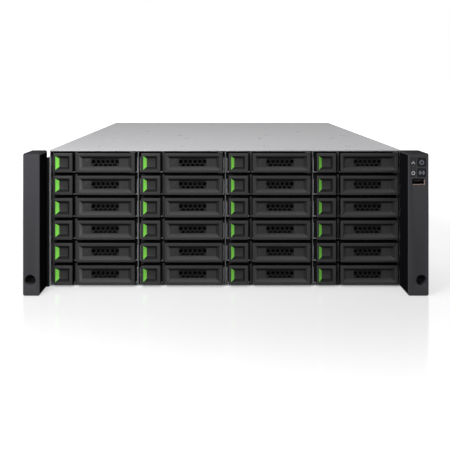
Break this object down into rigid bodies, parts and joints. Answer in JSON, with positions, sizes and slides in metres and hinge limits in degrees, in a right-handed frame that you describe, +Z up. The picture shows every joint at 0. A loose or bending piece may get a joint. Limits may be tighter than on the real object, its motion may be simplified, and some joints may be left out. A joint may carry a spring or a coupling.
{
  "type": "rackmount nas server",
  "caption": "Rackmount storage server: steel chassis with hot-swap drive trays behind swing handles, moulded rack ears with a control panel, rear controller, fans and power supplies.",
  "frame": {"origin": "centre of the footprint, at the level of the base plate", "axes": "+X to the right seen from the front, +Y from the front to the rear, +Z up"},
  "size_m": [0.4826, 0.575, 0.1696],
  "materials": {
    "chassis_steel": "zinc-coated sheet, satin",
    "cover_steel": "zinc-coated sheet, satin",
    "tray_plastic": "fine-textured black moulding",
    "handle_plastic": "fine-textured black moulding",
    "button_plastic": "fine-textured black moulding with a green slope",
    "ear_plastic": "fine-textured dark grey moulding",
    "bracket_steel": "black powder coat",
    "key_plastic": "polished black",
    "circuit_board": "solder mask",
    "port_metal": "plated shells",
    "heatsink_metal": "extruded, bare",
    "psu_steel": "zinc-coated case",
    "fan_plastic": "glass-filled moulding",
    "latch_plastic": "green touch point"
  },
  "bodies": {
    "chassis": {"chassis_tub": "chassis_steel", "drive_cage": "chassis_steel", "rear_bay_frame": "chassis_steel", "front_top_cover": "cover_steel", "rear_top_cover": "cover_steel", "left_ear_cover": "ear_plastic", "right_ear_cover": "ear_plastic", "rack_brackets": "bracket_steel", "front_panel_board": "circuit_board", "front_usb_port": "port_metal", "midplane": "circuit_board"},
    "controller": {"controller_case": "chassis_steel", "mainboard": "circuit_board", "cpu_heatsink": "heatsink_metal", "memory_modules": "circuit_board", "rear_ports": "port_metal"},
    "power_key": {"power_button": "key_plastic"},
    "locate_key": {"locate_button": "key_plastic"},
    "lever_left": {"controller_lever_left": "latch_plastic"},
    "lever_right": {"controller_lever_right": "latch_plastic"},
    "supply_left": {"psu_left": "psu_steel"},
    "supply_left_latch": {"psu_left_latch": "latch_plastic"},
    "fan_left": {"fan_module_left": "fan_plastic"},
    "rotor_left": {"fan_rotor_left": "fan_plastic"},
    "supply_right": {"psu_right": "psu_steel"},
    "supply_right_latch": {"psu_right_latch": "latch_plastic"},
    "fan_right": {"fan_module_right": "fan_plastic"},
    "rotor_right": {"fan_rotor_right": "fan_plastic"},
    "bay_r1c1": {"tray_r1c1": "tray_plastic"},
    "bay_r1c2": {"tray_r1c2": "tray_plastic"},
    "bay_r1c3": {"tray_r1c3": "tray_plastic"},
    "bay_r1c4": {"tray_r1c4": "tray_plastic"},
    "bay_r2c1": {"tray_r2c1": "tray_plastic"},
    "bay_r2c2": {"tray_r2c2": "tray_plastic"},
    "bay_r2c3": {"tray_r2c3": "tray_plastic"},
    "bay_r2c4": {"tray_r2c4": "tray_plastic"},
    "bay_r3c1": {"tray_r3c1": "tray_plastic"},
    "bay_r3c2": {"tray_r3c2": "tray_plastic"},
    "bay_r3c3": {"tray_r3c3": "tray_plastic"},
    "bay_r3c4": {"tray_r3c4": "tray_plastic"},
    "bay_r4c1": {"tray_r4c1": "tray_plastic"},
    "bay_r4c2": {"tray_r4c2": "tray_plastic"},
    "bay_r4c3": {"tray_r4c3": "tray_plastic"},
    "bay_r4c4": {"tray_r4c4": "tray_plastic"},
    "bay_r5c1": {"tray_r5c1": "tray_plastic"},
    "bay_r5c2": {"tray_r5c2": "tray_plastic"},
    "bay_r5c3": {"tray_r5c3": "tray_plastic"},
    "bay_r5c4": {"tray_r5c4": "tray_plastic"},
    "bay_r6c1": {"tray_r6c1": "tray_plastic"},
    "bay_r6c2": {"tray_r6c2": "tray_plastic"},
    "bay_r6c3": {"tray_r6c3": "tray_plastic"},
    "bay_r6c4": {"tray_r6c4": "tray_plastic"},
    "handle_c1": {"tray_handle_c1": "handle_plastic"},
    "button_c1": {"tray_button_c1": "button_plastic"},
    "handle_c2": {"tray_handle_c2": "handle_plastic"},
    "button_c2": {"tray_button_c2": "button_plastic"},
    "handle_c3": {"tray_handle_c3": "handle_plastic"},
    "button_c3": {"tray_button_c3": "button_plastic"},
    "handle_c4": {"tray_handle_c4": "handle_plastic"},
    "button_c4": {"tray_button_c4": "button_plastic"}
  },
  "joints": [
    {"name": "power_button_press", "type": "slide", "parent": "chassis", "child": "power_key", "axis": [0, 1, 0], "range_m": [0, 0.0012], "stiffness_N_per_m": 200, "springref_m": -0.0005},
    {"name": "locate_button_press", "type": "slide", "parent": "chassis", "child": "locate_key", "axis": [0, 1, 0], "range_m": [0, 0.0012], "stiffness_N_per_m": 200, "springref_m": -0.0005},
    {"name": "controller_slide", "type": "slide", "parent": "chassis", "child": "controller", "axis": [0, 1, 0], "range_m": [0, 0.3]},
    {"name": "controller_lever_left_swing", "type": "hinge", "parent": "controller", "child": "lever_left", "pos_m": [-0.2065, 0.2668, 0.02], "axis": [0, 0, 1], "range_deg": [0, 70]},
    {"name": "controller_lever_right_swing", "type": "hinge", "parent": "controller", "child": "lever_right", "pos_m": [0.2065, 0.2668, 0.02], "axis": [0, 0, -1], "range_deg": [0, 70]},
    {"name": "psu_left_slide", "type": "slide", "parent": "chassis", "child": "supply_left", "axis": [0, 1, 0], "range_m": [0, 0.3]},
    {"name": "psu_left_latch_press", "type": "slide", "parent": "supply_left", "child": "supply_left_latch", "axis": [-1, 0, 0], "range_m": [0, 0.003], "stiffness_N_per_m": 300, "springref_m": -0.001},
    {"name": "fan_module_left_slide", "type": "slide", "parent": "chassis", "child": "fan_left", "axis": [0, 1, 0], "range_m": [0, 0.055]},
    {"name": "fan_rotor_left_spin", "type": "hinge", "parent": "fan_left", "child": "rotor_left", "pos_m": [-0.0546, 0.2335, 0.12473], "axis": [0, 1, 0], "continuous": true},
    {"name": "psu_right_slide", "type": "slide", "parent": "chassis", "child": "supply_right", "axis": [0, 1, 0], "range_m": [0, 0.3]},
    {"name": "psu_right_latch_press", "type": "slide", "parent": "supply_right", "child": "supply_right_latch", "axis": [-1, 0, 0], "range_m": [0, 0.003], "stiffness_N_per_m": 300, "springref_m": -0.001},
    {"name": "fan_module_right_slide", "type": "slide", "parent": "chassis", "child": "fan_right", "axis": [0, 1, 0], "range_m": [0, 0.055]},
    {"name": "fan_rotor_right_spin", "type": "hinge", "parent": "fan_right", "child": "rotor_right", "pos_m": [0.0546, 0.2335, 0.12473], "axis": [0, 1, 0], "continuous": true},
    {"name": "tray_r1c1_slide", "type": "slide", "parent": "chassis", "child": "bay_r1c1", "axis": [0, -1, 0], "range_m": [0, 0.16]},
    {"name": "tray_r1c2_slide", "type": "slide", "parent": "chassis", "child": "bay_r1c2", "axis": [0, -1, 0], "range_m": [0, 0.16]},
    {"name": "tray_r1c3_slide", "type": "slide", "parent": "chassis", "child": "bay_r1c3", "axis": [0, -1, 0], "range_m": [0, 0.16]},
    {"name": "tray_r1c4_slide", "type": "slide", "parent": "chassis", "child": "bay_r1c4", "axis": [0, -1, 0], "range_m": [0, 0.16]},
    {"name": "tray_r2c1_slide", "type": "slide", "parent": "chassis", "child": "bay_r2c1", "axis": [0, -1, 0], "range_m": [0, 0.16]},
    {"name": "tray_r2c2_slide", "type": "slide", "parent": "chassis", "child": "bay_r2c2", "axis": [0, -1, 0], "range_m": [0, 0.16]},
    {"name": "tray_r2c3_slide", "type": "slide", "parent": "chassis", "child": "bay_r2c3", "axis": [0, -1, 0], "range_m": [0, 0.16]},
    {"name": "tray_r2c4_slide", "type": "slide", "parent": "chassis", "child": "bay_r2c4", "axis": [0, -1, 0], "range_m": [0, 0.16]},
    {"name": "tray_r3c1_slide", "type": "slide", "parent": "chassis", "child": "bay_r3c1", "axis": [0, -1, 0], "range_m": [0, 0.16]},
    {"name": "tray_r3c2_slide", "type": "slide", "parent": "chassis", "child": "bay_r3c2", "axis": [0, -1, 0], "range_m": [0, 0.16]},
    {"name": "tray_r3c3_slide", "type": "slide", "parent": "chassis", "child": "bay_r3c3", "axis": [0, -1, 0], "range_m": [0, 0.16]},
    {"name": "tray_r3c4_slide", "type": "slide", "parent": "chassis", "child": "bay_r3c4", "axis": [0, -1, 0], "range_m": [0, 0.16]},
    {"name": "tray_r4c1_slide", "type": "slide", "parent": "chassis", "child": "bay_r4c1", "axis": [0, -1, 0], "range_m": [0, 0.16]},
    {"name": "tray_r4c2_slide", "type": "slide", "parent": "chassis", "child": "bay_r4c2", "axis": [0, -1, 0], "range_m": [0, 0.16]},
    {"name": "tray_r4c3_slide", "type": "slide", "parent": "chassis", "child": "bay_r4c3", "axis": [0, -1, 0], "range_m": [0, 0.16]},
    {"name": "tray_r4c4_slide", "type": "slide", "parent": "chassis", "child": "bay_r4c4", "axis": [0, -1, 0], "range_m": [0, 0.16]},
    {"name": "tray_r5c1_slide", "type": "slide", "parent": "chassis", "child": "bay_r5c1", "axis": [0, -1, 0], "range_m": [0, 0.16]},
    {"name": "tray_r5c2_slide", "type": "slide", "parent": "chassis", "child": "bay_r5c2", "axis": [0, -1, 0], "range_m": [0, 0.16]},
    {"name": "tray_r5c3_slide", "type": "slide", "parent": "chassis", "child": "bay_r5c3", "axis": [0, -1, 0], "range_m": [0, 0.16]},
    {"name": "tray_r5c4_slide", "type": "slide", "parent": "chassis", "child": "bay_r5c4", "axis": [0, -1, 0], "range_m": [0, 0.16]},
    {"name": "tray_r6c1_slide", "type": "slide", "parent": "chassis", "child": "bay_r6c1", "axis": [0, -1, 0], "range_m": [0, 0.16]},
    {"name": "tray_r6c2_slide", "type": "slide", "parent": "chassis", "child": "bay_r6c2", "axis": [0, -1, 0], "range_m": [0, 0.16]},
    {"name": "tray_r6c3_slide", "type": "slide", "parent": "chassis", "child": "bay_r6c3", "axis": [0, -1, 0], "range_m": [0, 0.16]},
    {"name": "tray_r6c4_slide", "type": "slide", "parent": "chassis", "child": "bay_r6c4", "axis": [0, -1, 0], "range_m": [0, 0.16]},
    {"name": "tray_handle_c1_swing", "type": "hinge", "parent": "bay_r1c1", "child": "handle_c1", "pos_m": [-0.1154, -0.2535, 0.1542], "axis": [0, 0, 1], "range_deg": [0, 55]},
    {"name": "tray_button_c1_press", "type": "slide", "parent": "bay_r1c1", "child": "button_c1", "axis": [0, 1, 0], "range_m": [0, 0.0025], "stiffness_N_per_m": 300, "springref_m": -0.001},
    {"name": "tray_handle_c2_swing", "type": "hinge", "parent": "bay_r1c2", "child": "handle_c2", "pos_m": [-0.0068, -0.2535, 0.1542], "axis": [0, 0, 1], "range_deg": [0, 55]},
    {"name": "tray_button_c2_press", "type": "slide", "parent": "bay_r1c2", "child": "button_c2", "axis": [0, 1, 0], "range_m": [0, 0.0025], "stiffness_N_per_m": 300, "springref_m": -0.001},
    {"name": "tray_handle_c3_swing", "type": "hinge", "parent": "bay_r1c3", "child": "handle_c3", "pos_m": [0.1018, -0.2535, 0.1542], "axis": [0, 0, 1], "range_deg": [0, 55]},
    {"name": "tray_button_c3_press", "type": "slide", "parent": "bay_r1c3", "child": "button_c3", "axis": [0, 1, 0], "range_m": [0, 0.0025], "stiffness_N_per_m": 300, "springref_m": -0.001},
    {"name": "tray_handle_c4_swing", "type": "hinge", "parent": "bay_r1c4", "child": "handle_c4", "pos_m": [0.2104, -0.2535, 0.1542], "axis": [0, 0, 1], "range_deg": [0, 55]},
    {"name": "tray_button_c4_press", "type": "slide", "parent": "bay_r1c4", "child": "button_c4", "axis": [0, 1, 0], "range_m": [0, 0.0025], "stiffness_N_per_m": 300, "springref_m": -0.001}
  ]
}
